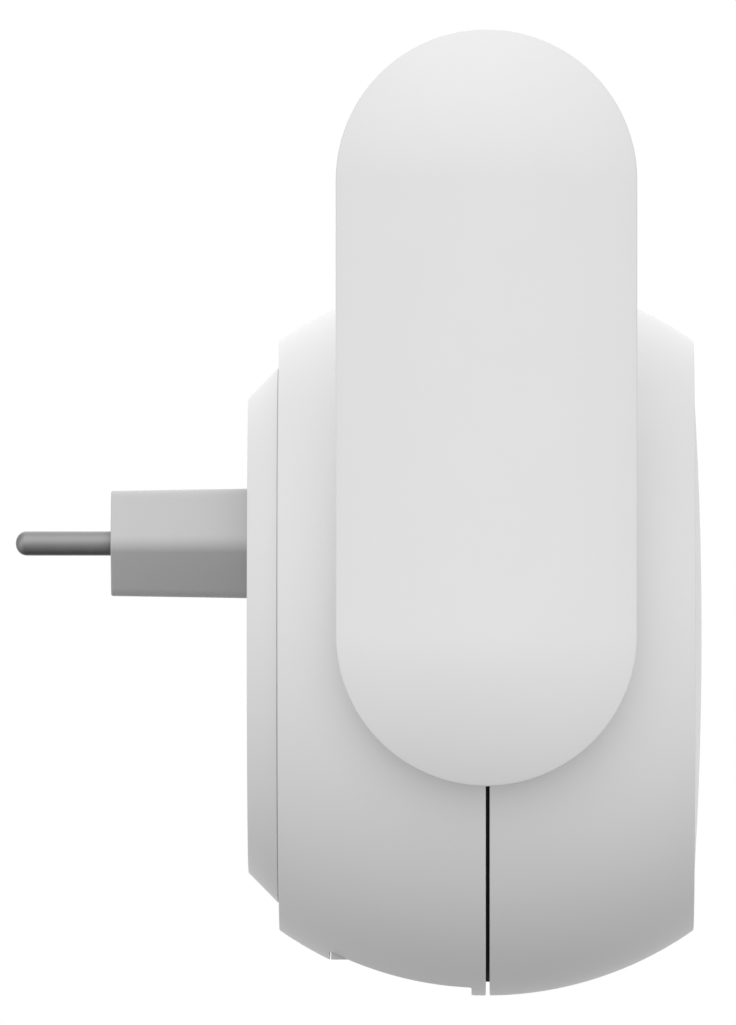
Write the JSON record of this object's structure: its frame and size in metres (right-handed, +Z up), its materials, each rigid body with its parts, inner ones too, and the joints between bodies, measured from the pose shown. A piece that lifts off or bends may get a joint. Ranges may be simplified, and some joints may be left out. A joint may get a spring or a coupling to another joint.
{
  "type": "powerline adapter",
  "caption": "Plug-in powerline network adapter with a ball-shaped two-part body, a round-pin mains plug, a port bay underneath and swivelling paddle antennas on its sides.",
  "frame": {"origin": "centre of the plug's engagement face, midway between the two mains pins", "axes": "+X from the wall towards the front cover, so the mains pins point to -X; +Z up, along the upright antennas; +Y is the right-hand side as seen from the front"},
  "size_m": [0.137, 0.168, 0.1918],
  "materials": {
    "white_shell": "satin white moulded ABS with a fine spark-eroded texture",
    "plug_plastic": "light grey moulded polycarbonate, satin",
    "nickel": "nickel-plated brass, polished",
    "steel": "zinc-plated steel",
    "black_plastic": "black moulded plastic, matte",
    "seam_black": "black elastomer strip",
    "rubber_black": "black rubber",
    "board_green": "glass-epoxy circuit board with solder mask",
    "copper": "enamelled copper winding",
    "component_dark": "dark component body",
    "capacitor_sleeve": "shrink sleeve",
    "capacitor_yellow": "potted plastic case",
    "aluminium": "anodised aluminium",
    "tinplate": "tinned steel",
    "gold": "gold-plated contact",
    "clear": "clear moulded acrylic",
    "led_white": "lamp package",
    "lead_brown": "brown lead insulation",
    "lead_blue": "blue lead insulation",
    "cable_grey": "flat cable insulation"
  },
  "bodies": {
    "root": {"plug_boss": "plug_plastic", "mains_pin_left": "nickel", "mains_pin_right": "nickel", "pin_carrier": "black_plastic", "mains_lead_left": "lead_brown", "mains_lead_right": "lead_blue", "rear_base": "white_shell", "rear_shell": "white_shell", "front_shell": "white_shell", "seam_strip_upper": "seam_black", "seam_strip_lower": "seam_black", "front_cover": "white_shell", "case_screw_1": "steel", "case_screw_2": "steel", "case_screw_3": "steel", "case_screw_4": "steel", "port_panel": "white_shell", "ethernet_jack": "component_dark", "jack_contacts": "gold", "port_board": "board_green", "reset_switch": "component_dark", "port_ribbon": "cable_grey", "power_board": "board_green", "transformer": "component_dark", "bulk_capacitor": "capacitor_sleeve", "x_capacitor": "capacitor_yellow", "mains_fuse": "component_dark", "line_coupler": "copper", "power_harness": "cable_grey", "main_board": "board_green", "radio_shield": "tinplate", "processor": "component_dark", "heat_sink": "aluminium", "status_led_1": "led_white", "status_led_2": "led_white", "status_led_3": "led_white", "light_pipe_1": "clear", "light_pipe_2": "clear", "light_pipe_3": "clear", "pair_switch": "component_dark", "friction_washer_left": "rubber_black", "body_coax_left": "rubber_black", "friction_washer_right": "rubber_black", "body_coax_right": "rubber_black"},
    "antenna_left": {"antenna_cover_left": "white_shell", "antenna_back_left": "white_shell", "antenna_screw_left": "steel", "antenna_board_left": "board_green", "antenna_coax_left": "rubber_black"},
    "antenna_right": {"antenna_cover_right": "white_shell", "antenna_back_right": "white_shell", "antenna_screw_right": "steel", "antenna_board_right": "board_green", "antenna_coax_right": "rubber_black"},
    "pair_button_body": {"pair_button": "white_shell", "pair_switch_plunger": "plug_plastic"},
    "reset_button_body": {"reset_button": "plug_plastic"}
  },
  "joints": [
    {"name": "antenna_left_swivel", "type": "hinge", "parent": "root", "child": "antenna_left", "pos_m": [0.075, 0, -0.0184], "axis": [0, 1, 0], "range_deg": [0, 180]},
    {"name": "antenna_right_swivel", "type": "hinge", "parent": "root", "child": "antenna_right", "pos_m": [0.075, 0, -0.0184], "axis": [0, 1, 0], "range_deg": [0, 180]},
    {"name": "pair_button_press", "type": "slide", "parent": "root", "child": "pair_button_body", "axis": [-1, 0, 0], "range_m": [0, 0.0006], "stiffness_N_per_m": 1500},
    {"name": "reset_button_press", "type": "slide", "parent": "root", "child": "reset_button_body", "axis": [0, 0, 1], "range_m": [0, 0.0005], "stiffness_N_per_m": 1500}
  ]
}
